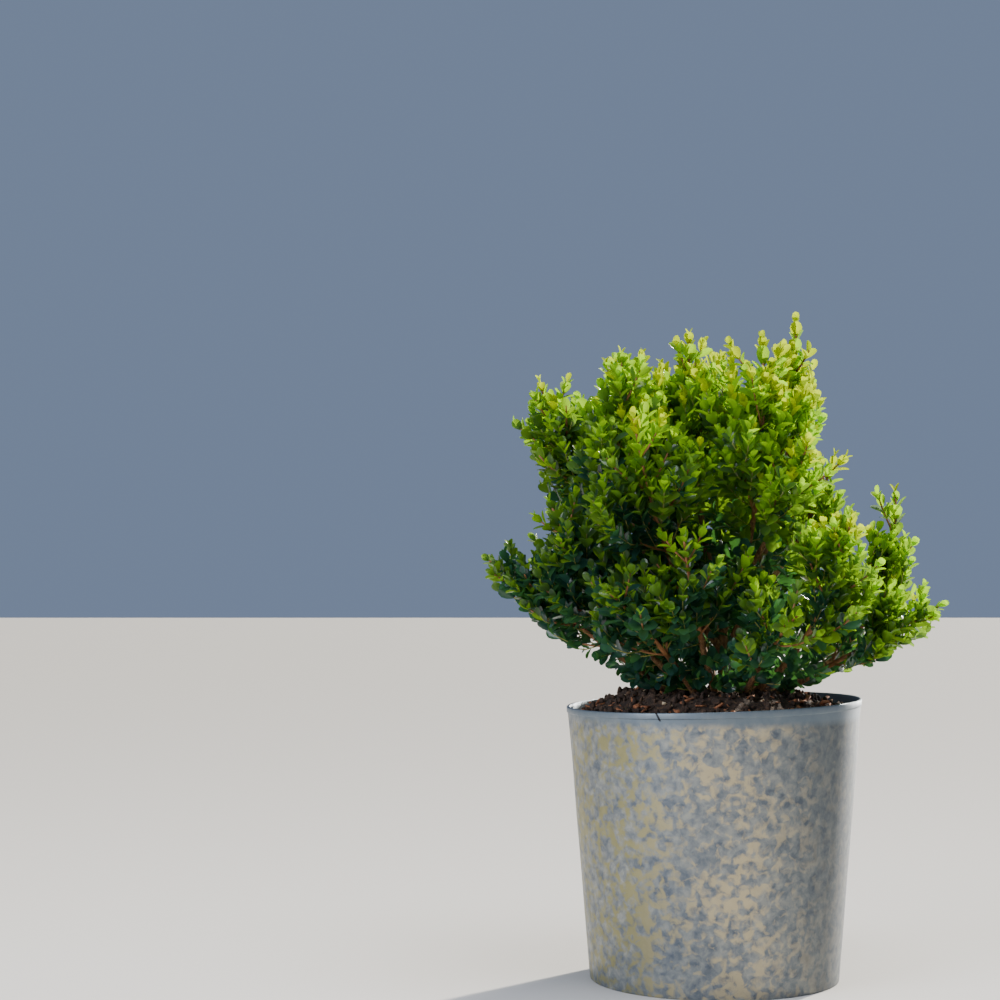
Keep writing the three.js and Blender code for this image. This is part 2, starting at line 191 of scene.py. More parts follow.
LEAF_SPACING = 9.5
LEAF_LENGTH = 21.5
LEAF_LENGTH_JITTER = 0.3
LEAF_WIDTH_SHARE = 0.62
LEAF_WIDTH_JITTER = 0.24
FOOT_LEAF_SIZE = 0.72
FOOT_LEAF_GAIN = 0.5
BUD_LEAF_SIZE = 0.55
BUD_LEAF_GAIN = 0.15
BUD_LEAF_NODES = 3
LEAF_START = 8
STEM_LEAVES_START = 0.45
TWIG_LEAVES_START = 0.35
LEAF_SPREADS = (50, 20)
LEAF_SPREAD_POWER = 1.5
LEAF_SPREAD_JITTER = 16
LEAF_TURN_JITTER = 18
SPRAY_TURN_JITTER = 30
LEAF_FACES_UP = 0.3
LEAF_ALLOWANCE = 7
BUD_LENGTH = 8
YOUNG_NODES = 3

# A leaf's outline in five steps along it, each as its place and half width, and how deep it is
# notched at the tip, folded along the midrib and cupped

LEAF_OUTLINE = {0.0: (0.0, 0.07), 0.2: (0.14, 0.46), 0.4: (0.36, 0.84),
                0.6: (0.62, 1.0), 0.8: (0.86, 0.76), 1.0: (1.0, 0.26)}
LEAF_NOTCH = 0.02
LEAF_FOLD = 0.22
LEAF_RISE = 0.14
LEAF_DROOP = 0.16

# Tones of leaf, dealt out by how much light a spray gets: lit and shaded copies of one leaf, so
# their colours are painted light and painted shade, with the young leaves only at the tips. A skin
# is its colour, the colour of the light through it, how much comes through, its roughness and its
# wax.

CROWN_HEIGHT = 390
SUNNY_SIDE = 0.28
SPRAY_JITTER = 0.28
SHADE_PER_NODE = 0.03
LEAST_LIGHT = {"young_sunlit": 0.78, "sunlit": 0.6, "half_shaded": 0.36}
LEAF_SKINS = {
    "young_sunlit": ("#8E9E00", "#B8CC00", 0.68, 0.6, 0),
    "sunlit": ("#688E24", "#A0D010", 0.68, 0.36, 0.4),
    "half_shaded": ("#3C5634", "#84B01E", 0.58, 0.28, 0.9),
    "deep_shade": ("#22443E", "#4C8838", 0.4, 0.28, 0.95),
}

# Numbers that vary by a seeded rule, the same on every run


class SeededDraws:
    def __init__(self, seed):
        self.state = ((seed + 1) * 2654435761) & 0xFFFFFFFF
        for _ in range(4):
            self()

    def __call__(self):
        self.state = (self.state * 1664525 + 1013904223) & 0xFFFFFFFF
        return self.state / 4294967296

    def around(self, middle, jitter):
        return middle * (1 + jitter * (self() - 0.5))


def mix(low, high, share):
    return low + (high - low) * share


# Curves and directions


class Bow:
    """A curve from start to end that is drawn towards one control point."""

    def __init__(self, start, control, end):
        self.start = start
        self.control = control
        self.end = end

    def point(self, share):
        rest = 1 - share
        return self.start * rest * rest + self.control * 2 * rest * share + self.end * share * share

    def tangent(self, share):
        along = (self.control - self.start) * (1 - share) + (self.end - self.control) * share
        return along.normalized()

    def points(self, steps, first=0.0, last=1.0):
        return [self.point(mix(first, last, step / steps)) for step in range(steps + 1)]

    def length(self):
        points = self.points(LENGTH_STEPS)
        return sum((b - a).length for a, b in zip(points, points[1:]))


def perpendicular_to(tangent, turn):
    """A direction square to the tangent. It is level at turn 0, and turns round the tangent."""
    across = tangent.cross(UP)
    if across.length_squared < 0.01:
        across = Vector((1, 0, 0)).cross(tangent)
    across.normalize()
    across.rotate(Quaternion(tangent, math.radians(turn)))
    return across


def lean(tangent, turn, spread):
    """The tangent leant over by the angle `spread`, to the side that `turn` gives."""
    angle = math.radians(spread)
    return tangent * math.cos(angle) + perpendicular_to(tangent, turn) * math.sin(angle)


def rising_bow(start, tangent, turn, spread, rise, length):
    """The line of a twig or shoot, which leans out from its carrier and then turns upward."""
    heading = lean(tangent, turn, spread)
    bend = start + heading * (length / 2)
    risen = (heading + UP * rise).normalized()
    return Bow(start, bend, bend + risen * (length / 2))


# Limbs

trunk_curve = Bow(TRUNK_FOOT, TRUNK_BEND, TRUNK_TOP)


class Limb:
    def __init__(self, name, ring, turn, curve, width, draw):
        self.name = name
        self.ring = ring
        self.turn = turn
        self.curve = curve
        self.width = width
        self.draw = draw
        self.length = curve.length()
        self.reach = (curve.end - CROWN_FOOT).length


def limb_start(ring, index, turn, limbs):
    """Where a limb begins: on the trunk, in the soil, or on the nearest limb of another ring."""
    if ring["source"] == "trunk top":
        return trunk_curve.point(LEADER_START)
    if ring["source"] == "trunk":
        share = (index * 2 % ring["count"]) / (ring["count"] - 1)
        height = mix(*TRUNK_FORKS, share)
        return trunk_curve.point((height - TRUNK_FOOT.z) / (TRUNK_TOP.z - TRUNK_FOOT.z))
    if ring["source"] == "soil":
        angle = math.radians(turn)
        outward = Vector((math.cos(angle), math.sin(angle), 0))
        start = TRUNK_FOOT + outward * ring["foot_distance"]
        start.z = SOIL_TOP - BASAL_DEPTH
        return start
    carriers = [limb for limb in limbs if limb.ring["name"] == ring["source"]]
    parent = min(carriers, key=lambda limb: abs((limb.turn - turn + 540) % 360 - 180))
    return parent.curve.point(ring["fork_share"] + ring["fork_stagger"] * (index % 2))


def limb_curve(start, tip, bow):
    """A limb's line, which hangs below its chord by the share `bow` of the chord's length."""
    chord = tip - start
    below = chord.cross(UP).cross(chord).normalized()
    if below.z > 0:
        below.negate()
    return Bow(start, start + chord * 0.5 + below * (2 * bow * chord.length), tip)


def grow_limbs():
    limbs = []
    for ring in RINGS:
        for index in range(ring["count"]):
            draw = SeededDraws(LIMB_SEED + len(limbs))
            even_turn = ring["first_turn"] + 360 * index / ring["count"]
            to_right = math.cos(math.radians(even_turn))
            outline = ring["right"] if to_right > 0 else ring["left"]
            elevation, reach, bow, width = (
                mix(side, out, to_right ** 2) for side, out in zip(ring["side"], outline)
            )
            vary = 1 - to_right ** 2
            turn = even_turn + TURN_JITTER * vary * (2 * draw() - 1)
            elevation += ELEVATION_JITTER * vary * (2 * draw() - 1)
            reach *= 1 + REACH_JITTER * vary * (2 * draw() - 1)
            rise = math.radians(elevation)
            angle = math.radians(turn)
            tip = CROWN_FOOT + reach * Vector((
                math.cos(rise) * math.cos(angle),
                math.cos(rise) * math.sin(angle),
                math.sin(rise),
            ))
            start = limb_start(ring, index, turn, limbs)
            name = ring["name"] if ring["count"] == 1 else f"{ring['name']}_{index + 1}"
            limbs.append(Limb(name, ring, turn, limb_curve(start, tip, bow), width, draw))
    return limbs


limbs = grow_limbs()

# Room for foliage: near its own limb, inside the crown's outline and clear of the stems

limb_axes = np.array([limb.curve.points(AXIS_STEPS) for limb in limbs])
limb_thickness = np.array([limb.ring["radius"][0] for limb in limbs])
trunk_axis = np.array([trunk_curve.points(AXIS_STEPS)])


def distances_to_axes(points, axes):
    starts = axes[:, :-1]
    spans = axes[:, 1:] - starts
    offsets = points[:, None, None, :] - starts
    along = np.clip((offsets * spans).sum(-1) / (spans * spans).sum(-1), 0, 1)
    nearest = offsets - along[..., None] * spans
    return np.sqrt((nearest * nearest).sum(-1)).min(-1)


def is_in_outline(points, limb, own, allowance):
    """Inside the limb's own plume, which rounds off to its tip, and above the underside."""
    spread = np.hypot(points[:, 0], points[:, 1])
    slope = mix(*UNDERSIDE_SLOPES, 0.5 + 0.5 * points[:, 0] / np.maximum(spread, 1))
    underside = UNDERSIDE_HEIGHT + slope * np.maximum(0, spread - UNDERSIDE_RADIUS)
    reach = limb.reach - ROUNDING * own ** 2 / limb.width + allowance
    from_foot = np.linalg.norm(points - np.array(CROWN_FOOT), axis=1)
    return bool(np.all(points[:, 2] > underside) and np.all(own < limb.width)
                and np.all(from_foot < reach))


def own_distance(points, limb):
    return distances_to_axes(points, limb_axes[[limbs.index(limb)]])[:, 0]


def has_room(points, limb, overlap, allowance):
    points = np.array(points)
    own = own_distance(points, limb)
    if not is_in_outline(points, limb, own, allowance):
        return False
    distances = distances_to_axes(points, limb_axes)
    distances[:, limbs.index(limb)] = np.inf
    trunk_distance = distances_to_axes(points, trunk_axis)[:, 0]
    return bool(
        np.all(distances > own[:, None] - overlap)
        and np.all(distances > limb_thickness + LIMB_CLEARANCE)
        and np.all(trunk_distance > TRUNK_RADIUS[0] + LIMB_CLEARANCE)
    )


def first_with_room(limb, overlap, allowance, sizes, make):
    """The first curve with room for its outer part, of those tried smaller and turned aside."""
    for size in sizes:
        for nudge in TRIED_NUDGES:
            curve = make(size, nudge)
            tried = curve.points(TRIED_STEPS)[FIRST_TRIED_STEP:]
            if has_room(tried, limb, overlap, allowance):
                return curve
    return None


# Growth: twigs on each limb's stem, shoots on stems and twigs


def grow_twigs(limb):
    """Opposite pairs of twigs along a limb's stem, shorter towards its tip."""
    stem_start = limb.ring["bough_share"] + GAP / limb.length
    stem_length = limb.length * (1 - stem_start)
    pairs = max(TWIG_FEWEST_PAIRS, math.floor(stem_length / TWIG_SPACING + 0.5))
    twigs = []
    for pair in range(pairs):
        progress = pair / (pairs - 1)
        share = mix(stem_start, 1, mix(*TWIG_SHARES, progress))
        for side in (0, 180):
            turn = FIRST_TURN + 90 * pair + side + TWIG_TURN_JITTER * (limb.draw() - 0.5)
            jitter = 1 + TWIG_LENGTH_JITTER * (limb.draw() - 0.5)
            length = TWIG_LENGTH * (1 - TWIG_SHORTENING * progress) * jitter
            start = limb.curve.point(share)
            tangent = limb.curve.tangent(share)
            twigs.append(first_with_room(
                limb, 0, OUTLINE_ALLOWANCE, TWIG_TRIED_SIZES,
                lambda size, nudge: rising_bow(
                    start, tangent, turn + nudge, TWIG_SPREAD, TWIG_RISE, length * size),
            ))
    return [twig for twig in twigs if twig]


def grow_shoots(limb, carrier, shares, draw, spacing=SHOOT_SPACING, longest=SHOOT_LENGTH,
                spread=SHOOT_SPREAD, rise=SHOOT_RISE):
    """Shoots on one carrier end at much the same height, so that they stand as one spire."""
    span = carrier.length() * (shares[1] - shares[0])
    pairs = max(1, round(span / spacing))
    shortfall = SPIRE_SHORTFALL * draw()
    shoots = []
    for pair in range(pairs):
        progress = pair / max(1, pairs - 1)
        share = mix(*shares, progress)
        for side in (0, 180):
            turn = FIRST_TURN + 90 * pair + side + SHOOT_TURN_JITTER * (draw() - 0.5)
            size = draw.around(longest * (1 - SHOOT_SHORTENING * progress), SHOOT_LENGTH_JITTER)
            start = carrier.point(share)
            tangent = carrier.tangent(share)
            allowance = OUTLINE_ALLOWANCE - shortfall - SHOOT_SHORTFALL * draw()
            shoots.append(first_with_room(
                limb, SPACE_OVERLAP, allowance, SHOOT_TRIED_SIZES,
                lambda shrink, nudge: rising_bow(
                    start, tangent, turn + nudge, spread, rise, size * shrink),
            ))
    return [shoot for shoot in shoots if shoot]


class Sprays:
    """Leaves, gathered by their tone as rows of place, axes and size."""

    def __init__(self):
        self.by_tone = {tone: [] for tone in LEAF_SKINS}

    def add(self, tone, root, along, facing, length, width):
        facing = (facing - along * facing.dot(along)).normalized()
        across = along.cross(facing)
        self.by_tone[tone].append((*root, *(across * width), *(along * length), *(facing * width)))


def sunniness(point, limb):
    """0 at the crown's foot to about 1 at the top of its outline, and more to the right."""
    from_foot = point - CROWN_FOOT
    outward = from_foot.length / limb.reach
    upward = max(0, from_foot.z) / CROWN_HEIGHT
    return 0.5 * outward + 0.5 * upward + SUNNY_SIDE * from_foot.x / CROWN_HEIGHT


# Picks a leaf's tone by its light: the sunlit tones are painted light and the darker ones painted
# shade.
def tone_of(sunny, from_tip, spray_draw):
    light = sunny + SPRAY_JITTER * (spray_draw - 0.5) - SHADE_PER_NODE * from_tip
    if from_tip < YOUNG_NODES and light > LEAST_LIGHT["young_sunlit"]:
        return "young_sunlit"
    if light > LEAST_LIGHT["sunlit"]:
        return "sunlit"
    if light > LEAST_LIGHT["half_shaded"]:
        return "half_shaded"
    return "deep_shade"


def leaf_size(progress, from_tip, draw):
    """Leaves are larger up the twig, and still small on its last few nodes."""
    up_twig = min(1, FOOT_LEAF_SIZE + FOOT_LEAF_GAIN * progress)
    near_tip = BUD_LEAF_SIZE + BUD_LEAF_GAIN * min(BUD_LEAF_NODES, from_tip)
    return draw.around(LEAF_LENGTH * up_twig * near_tip, LEAF_LENGTH_JITTER)


def leaf_pairs(sprays, limb, curve, first, draw):
    """Clothes a curve with leaves from `first` millimetres along it to its tip."""
    length = curve.length()
    nodes = max(2, round((length - first) / LEAF_SPACING))
    spray_draw = draw()
    turn = 90 * round(4 * draw()) + SPRAY_TURN_JITTER * (draw() - 0.5)
    for node in range(nodes + 1):
        progress = node / nodes
        share = mix(first, length - BUD_LENGTH, progress) / length
        root = curve.point(share)
        tangent = curve.tangent(share)
        from_tip = nodes - node
        sunny = sunniness(root, limb)
        for side in (0, 180):
            size = leaf_size(progress, from_tip, draw)
            spread = mix(*LEAF_SPREADS, progress ** LEAF_SPREAD_POWER)
            spread += LEAF_SPREAD_JITTER * (draw() - 0.5)
            turned = turn + 90 * node + side + LEAF_TURN_JITTER * (draw() - 0.5)
            along = lean(tangent, turned, spread)
            facing = tangent + UP * LEAF_FACES_UP * draw()
            width = size * draw.around(LEAF_WIDTH_SHARE, LEAF_WIDTH_JITTER)
            tip = np.array([root + along * size])
            if not is_in_outline(tip, limb, own_distance(tip, limb), LEAF_ALLOWANCE):
                continue
            sprays.add(tone_of(sunny, from_tip, spray_draw), root, along, facing, size, width)


# Meshes from many small copies


def joined_copies(template_vertices, template_faces, rows):
    """One vertex and face list from a template and rows of place, across, along and facing."""
    rows = np.array(rows, dtype=np.float64).reshape(len(rows), 4, 3)
    shapes = np.einsum("va,rac->rvc", template_vertices, rows[:, 1:]) + rows[:, None, 0]
    count = len(template_vertices)
    offsets = (np.arange(len(rows)) * count)[:, None, None]
    faces = np.array(template_faces)[None] + offsets
    return shapes.reshape(-1, 3), faces.reshape(-1, faces.shape[-1])


def template_from(bm):
    bm.verts.index_update()
    vertices = np.array([vertex.co[:] for vertex in bm.verts])
    faces = [[vertex.index for vertex in face.verts] for face in bm.faces]
    bm.free()
    return vertices, faces


def tube_arrays(points, radii, sides):
    """Rings of a thin tube along points, with a single vertex closing each end."""
    tangents = [(points[min(i + 1, len(points) - 1)] - points[max(i - 1, 0)]).normalized()
                for i in range(len(points))]
    across = perpendicular_to(tangents[0], 0)
    vertices = [points[0]]
    for point, tangent, radius in zip(points, tangents, radii):
        across = (across - tangent * across.dot(tangent)).normalized()
        other = tangent.cross(across)
        for side in range(sides):
            angle = 2 * math.pi * side / sides
            vertices.append(point + (across * math.cos(angle) + other * math.sin(angle)) * radius)
    vertices.append(points[-1] + tangents[-1] * radii[-1])
    return [vertex[:] for vertex in vertices]


def tube_faces(rings, sides):
    last = rings * sides + 1
    faces = []
    for side in range(sides):
        after = (side + 1) % sides
        faces.append((0, 1 + after, 1 + side))
        for ring in range(rings - 1):
            low = 1 + ring * sides
            high = low + sides
            faces.append((low + side, low + after, high + after, high + side))
        top = 1 + (rings - 1) * sides
        faces.append((top + side, top + after, last))
    return faces


def joined_tubes(curves, sides, steps):
    """Curves are (curve, first share, radius at start, radius at end)."""
    vertices = []
    faces = []
    pattern = tube_faces(steps + 1, sides)
    for curve, first, thick, thin in curves:
        points = curve.points(steps, first, 1 - BUD_LENGTH / curve.length())
        radii = [mix(thick, thin, step / steps) for step in range(steps + 1)]
        offset = len(vertices)
        vertices.extend(tube_arrays(points, radii, sides))
        faces.extend(tuple(offset + corner for corner in face) for face in pattern)
    return vertices, faces


def mesh_from_lists(name, vertices, faces):
    mesh = bpy.data.meshes.new(name)
    mesh.from_pydata([tuple(vertex) for vertex in vertices], [], [tuple(face) for face in faces])
    mesh.validate()
    return mesh


def mesh_from_bmesh(name, bm):
    bmesh.ops.recalc_face_normals(bm, faces=bm.faces)
    mesh = bpy.data.meshes.new(name)
    bm.to_mesh(mesh)
    bm.free()
    return mesh


def make_piece(name, mesh, material, nodes=()):
    """Makes a finished mesh in millimetres an object in metres, in place of its CAD nodes."""
    mesh.transform(Matrix.Scale(MM, 4))
    mesh.shade_smooth()
    mesh.materials.append(material)
    piece = bpy.data.objects.new(name, mesh)
    bpy.context.scene.collection.objects.link(piece)
    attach(piece, "root")
    if nodes:
        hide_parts(*nodes)


def make_copies(name, template, rows, material, nodes=()):
    """A piece of many small copies of one template, one for each row."""
    mesh = mesh_from_lists(name, *joined_copies(*template, rows))
    make_piece(name, mesh, material, nodes)


# Materials


def colour(hex_code):
    """An sRGB hex value as linear red, green, blue and alpha."""
    channels = [int(hex_code[place:place + 2], 16) / 255 for place in (1, 3, 5)]
    linear = [c / 12.92 if c <= 0.04045 else ((c + 0.055) / 1.055) ** 2.4 for c in channels]
    return (*linear, 1)


def add_node(tree, kind, settings=None, inputs=None, stops=None):
    """Adds a node with its settings, its inputs as values or links, and a ramp's stops."""
    made = tree.nodes.new(kind)
    for name, value in (settings or {}).items():
        setattr(made, name, value)
    for name, value in (inputs or {}).items():
        if isinstance(value, bpy.types.NodeSocket):
            tree.links.new(value, made.inputs[name])
        else:
            made.inputs[name].default_value = value
    for index, (position, hex_code) in enumerate(stops or []):
        ramp = made.color_ramp.elements
        stop = ramp[index] if index < len(ramp) else ramp.new(position)
        stop.position = position
        stop.color = colour(hex_code)
    return made


def new_material(name):
    material = bpy.data.materials.new(name)
    material.use_nodes = True
    tree = material.node_tree
    tree.nodes.clear()
    output = add_node(tree, "ShaderNodeOutputMaterial")
    return material, tree, output


def per_mm(size):
    """The scale of a pattern whose features are `size` millimetres across."""
    return 1 / (size * MM)


def maths(tree, operation, *values):
    node = add_node(tree, "ShaderNodeMath", {"operation": operation}, dict(enumerate(values)))
    return node.outputs[0]


def mapped(tree, value, start, end, low=0, high=1):
    """Low where the value is at start, high where it is at end, and between them in between."""
    node = add_node(tree, "ShaderNodeMapRange", inputs={
        "Value": value, "From Min": start, "From Max": end, "To Min": low, "To Max": high})
    return node.outputs["Result"]


def blended(tree, share, first, second):
    node = add_node(tree, "ShaderNodeMix", {"data_type": "RGBA"}, {0: share, 6: first, 7: second})
    return node.outputs[2]


def split_in_rim(tree, position):
    """A short dark slanting split in the front of the rim, left of the middle."""
    slanted = maths(tree, "MULTIPLY_ADD", position["Z"], SPLIT_SLANT, position["X"])
    aside = maths(tree, "COMPARE", slanted, SPLIT_LINE * MM, SPLIT_HALF_WIDTH * MM)
    high = mapped(tree, position["Z"], SPLIT_FOOT[0] * MM, SPLIT_FOOT[1] * MM)
    front = maths(tree, "LESS_THAN", position["Y"], 0)
    upper = maths(tree, "MULTIPLY", aside, high)
    return maths(tree, "MULTIPLY", upper, front)


# Galvanised steel sheet, hot dipped and weathered: a grey metal with a small soft spangle and
# creamier bloom in patches, plainer under the rim, which gives a broken low sheen. Its right side
# is darker with painted shade, and the olive of the bloom at the left is a painted warm reflection.
def galvanised_sheet():
    material, tree, output = new_material("galvanised_sheet_weathered")
    place = add_node(tree, "ShaderNodeTexCoord").outputs["Object"]
    crystals = add_node(tree, "ShaderNodeTexNoise", inputs={
        "Vector": place, "Scale": per_mm(11), "Detail": 3, "Roughness": 0.6, "Distortion": 0.3})
    grey = add_node(tree, "ShaderNodeValToRGB", inputs={"Fac": crystals.outputs["Fac"]}, stops=[
        (0.34, "#545C66"), (0.46, "#6E7478"), (0.55, "#7F8382"), (0.66, "#94958C")])
    facets = add_node(tree, "ShaderNodeTexVoronoi", {"feature": "SMOOTH_F1"}, {
        "Vector": place, "Scale": per_mm(7), "Smoothness": 0.4})
    facet_grey = add_node(tree, "ShaderNodeValToRGB", inputs={
        "Fac": facets.outputs["Color"]}, stops=[(0.2, "#5E6670"), (0.8, "#989A93")])
    bright = blended(tree, 0.3, grey.outputs["Color"], facet_grey.outputs["Color"])
    position = add_node(tree, "ShaderNodeSeparateXYZ", inputs={"Vector": place}).outputs
    # Towards the right the sheet is darkened to a dark blue-grey: painted shade on that side.
    painted_shade_right = mapped(tree, position["X"], 30 * MM, 120 * MM, 0, 0.75)
    spangle_and_painted_shade = blended(tree, painted_shade_right, bright, colour("#323D46"))
    # The bloom is creamier towards the middle and olive at the left, where the olive is a painted
    # warm reflection of light bounced up from the floor.
    towards_middle = mapped(tree, position["X"], -100 * MM, -30 * MM)
    bloom_and_painted_bounce_colour = add_node(tree, "ShaderNodeValToRGB", inputs={"Fac": towards_middle}, stops=[
        (0, "#8C8656"), (1, "#B8A985")])
    patches = add_node(tree, "ShaderNodeTexNoise", inputs={
        "Vector": place, "Scale": per_mm(70), "Detail": 1})
    lobes = add_node(tree, "ShaderNodeTexNoise", inputs={
        "Vector": place, "Scale": per_mm(10), "Detail": 3, "Roughness": 0.5, "Distortion": 0.5})
    both = maths(tree, "MULTIPLY_ADD", patches.outputs["Fac"], 0.35, lobes.outputs["Fac"])
    bloom_amount = mapped(tree, both, 0.64, 0.8, 0, 0.85)
    below_rim = mapped(tree, position["Z"], 289 * MM, 281 * MM, 0.15, 1)
    # The bloom fades out towards the right, which leaves that side plain and dark as painted shade.
    bloom_outside_painted_shade = mapped(tree, position["X"], 20 * MM, 100 * MM, 1, 0.12)
    where = maths(tree, "MULTIPLY", bloom_outside_painted_shade, below_rim)
    bloom = maths(tree, "MULTIPLY", bloom_amount, where)
    coated = blended(tree, bloom, spangle_and_painted_shade, bloom_and_painted_bounce_colour.outputs["Color"])
    plainer = blended(tree, below_rim, colour("#64717B"), coated)
    stained = blended(tree, split_in_rim(tree, position), plainer, colour("#14171B"))
    roughness = mapped(tree, crystals.outputs["Fac"], 0.3, 0.7, 0.5, 0.38)
    grain = add_node(tree, "ShaderNodeTexNoise", inputs={
        "Vector": place, "Scale": per_mm(2), "Detail": 2})
    bump = add_node(tree, "ShaderNodeBump", inputs={
        "Strength": 0.12, "Distance": 0.4 * MM, "Height": grain.outputs["Fac"]})
    shader = add_node(tree, "ShaderNodeBsdfPrincipled", inputs={
        "Base Color": stained, "Metallic": 0.6,
        "Roughness": roughness, "Normal": bump.outputs["Normal"]})
    tree.links.new(shader.outputs["BSDF"], output.inputs["Surface"])
    return material


# Damp potting compost, crumbled and pressed by watering: near black, matt and broken
def potting_compost():
    material, tree, output = new_material("potting_compost_damp")
    place = add_node(tree, "ShaderNodeTexCoord").outputs["Object"]
    crumbs = add_node(tree, "ShaderNodeTexNoise", inputs={
        "Vector": place, "Scale": per_mm(5), "Detail": 6, "Roughness": 0.7})
    brown = add_node(tree, "ShaderNodeValToRGB", inputs={"Fac": crumbs.outputs["Fac"]}, stops=[
        (0.32, "#17100C"), (0.52, "#3A2A1F"), (0.7, "#6C5039")])
    bump = add_node(tree, "ShaderNodeBump", inputs={
        "Strength": 0.7, "Distance": 3 * MM, "Height": crumbs.outputs["Fac"]})
    shader = add_node(tree, "ShaderNodeBsdfPrincipled", inputs={
        "Base Color": brown.outputs["Color"], "Roughness": 0.92, "Normal": bump.outputs["Normal"]})
    tree.links.new(shader.outputs["BSDF"], output.inputs["Surface"])
    return material


# Chipped softwood in the compost, shredded: pale tan splinters that catch the light
def chipped_wood(name, pale, dark):
    material, tree, output = new_material(name)
    place = add_node(tree, "ShaderNodeTexCoord").outputs["Object"]
    fibres = add_node(tree, "ShaderNodeTexNoise", inputs={
        "Vector": place, "Scale": per_mm(2.5), "Detail": 3})
    tan = add_node(tree, "ShaderNodeValToRGB", inputs={"Fac": fibres.outputs["Fac"]}, stops=[
        (0.35, dark), (0.7, pale)])
    shader = add_node(tree, "ShaderNodeBsdfPrincipled", inputs={
        "Base Color": tan.outputs["Color"], "Roughness": 0.8})
    tree.links.new(shader.outputs["BSDF"], output.inputs["Surface"])
    return material


# Box bark, grown: tan corky ridges with darker fissures that run along the stem
def box_bark():
    material, tree, output = new_material("box_bark_fissured")
    place = add_node(tree, "ShaderNodeTexCoord").outputs["Object"]
    squeezed = add_node(tree, "ShaderNodeMapping", inputs={
        "Vector": place, "Scale": (1, 1, 0.3)})
    ridges = add_node(tree, "ShaderNodeTexNoise", inputs={
        "Vector": squeezed.outputs["Vector"], "Scale": per_mm(3), "Detail": 5, "Roughness": 0.65})
    tan = add_node(tree, "ShaderNodeValToRGB", inputs={"Fac": ridges.outputs["Fac"]}, stops=[
        (0.3, "#3B2818"), (0.5, "#7A5533"), (0.72, "#B08A5C")])
    bump = add_node(tree, "ShaderNodeBump", inputs={
        "Strength": 0.6, "Distance": 1.2 * MM, "Height": ridges.outputs["Fac"]})
    shader = add_node(tree, "ShaderNodeBsdfPrincipled", inputs={
        "Base Color": tan.outputs["Color"], "Roughness": 0.82, "Normal": bump.outputs["Normal"]})
    tree.links.new(shader.outputs["BSDF"], output.inputs["Surface"])
    return material


# Young wood, grown: smooth and thin, orange brown where it ripens and greener at the tips
def young_wood(name, hex_code):
    material, tree, output = new_material(name)
    shader = add_node(tree, "ShaderNodeBsdfPrincipled", inputs={
        "Base Color": colour(hex_code), "Roughness": 0.6})
    tree.links.new(shader.outputs["BSDF"], output.inputs["Surface"])
    return material


# Box leaf, grown with a thick waxy skin: a tight shine over green that light comes through
def waxy_leaf(name, skin, glow, see_through, roughness, wax):
    material, tree, output = new_material(name)
    shader = add_node(tree, "ShaderNodeBsdfPrincipled", inputs={
        "Base Color": colour(skin), "Roughness": roughness, "Specular IOR Level": 0.12,
        "Coat Weight": wax, "Coat Roughness": 0.14})
    lit_through = add_node(tree, "ShaderNodeBsdfTranslucent", inputs={"Color": colour(glow)})
    leaf = add_node(tree, "ShaderNodeMixShader", inputs={
        "Fac": see_through, 1: shader.outputs["BSDF"], 2: lit_through.outputs["BSDF"]})
    tree.links.new(leaf.outputs["Shader"], output.inputs["Surface"])
    return material


# Tub: wall, folded hem, inner wall and floor spun round, with the rim a little out of level


def spun(profile, turns):
    """A profile of pairs of radius and height, spun round the upright axis."""
    bm = bmesh.new()
    vertices = [bm.verts.new((radius, 0, height)) for radius, height in profile]
    edges = [bm.edges.new(pair) for pair in zip(vertices, vertices[1:])]
    bmesh.ops.spin(bm, geom=vertices + edges, cent=(0, 0, 0), axis=(0, 0, 1),
                   angle=2 * math.pi, steps=turns, use_merge=True)
    bmesh.ops.remove_doubles(bm, verts=bm.verts, dist=0.0001)
    return bm


def arc(centre_radius, centre_height, radius, start, end, steps):
    angles = [math.radians(mix(start, end, step / steps)) for step in range(steps + 1)]
    return [(centre_radius + radius * math.cos(angle), centre_height + radius * math.sin(angle))
            for angle in angles]


def wall_radius(height):
    return TUB_BASE_RADIUS + (TUB_RIM_RADIUS - HEM_DEPTH - TUB_BASE_RADIUS) * height / TUB_HEIGHT


def tub_mesh():
    hem_foot = TUB_HEIGHT - HEM_HEIGHT
    fold = (HEM_DEPTH + TUB_SHEET) / 2
    profile = [(0, 0)]
    profile += arc(TUB_BASE_RADIUS - BASE_EDGE_RADIUS, BASE_EDGE_RADIUS, BASE_EDGE_RADIUS,
                   start=-90, end=-5, steps=4)
    for step in range(1, WALL_STEPS + 1):
        height = (hem_foot - HEM_DEPTH) * step / WALL_STEPS
        profile.append((wall_radius(height), height))
    profile.append((wall_radius(hem_foot), hem_foot))
    profile += arc(TUB_RIM_RADIUS - HEM_LIP_RADIUS, hem_foot + HEM_LIP_RISE, HEM_LIP_RADIUS,
                   start=-80, end=0, steps=3)
    profile += arc(TUB_RIM_RADIUS - fold, TUB_HEIGHT - fold, fold, start=0, end=180, steps=10)
    for step in range(1, WALL_STEPS):
        height = mix(hem_foot, TUB_FLOOR, step / WALL_STEPS)
        profile.append((wall_radius(height) - TUB_SHEET, height))
    profile += [(TUB_BASE_RADIUS - TUB_SHEET, TUB_FLOOR), (0, TUB_FLOOR)]
    bm = spun(profile, TUB_TURNS)
    for vertex in bm.verts:
        x, y, z = vertex.co
        dent = noise.noise(Vector((x, y, z)) / DENT_SIZE) if z > DENTS_START else 0
        dented = 1 + DENT_SHARE * dent * (z / TUB_HEIGHT)
        vertex.co.x *= dented
        vertex.co.y *= dented
        vertex.co.z += RIM_SLOPE * (x / TUB_RIM_RADIUS) * (z / TUB_HEIGHT) ** 4
    return mesh_from_bmesh("tub", bm)


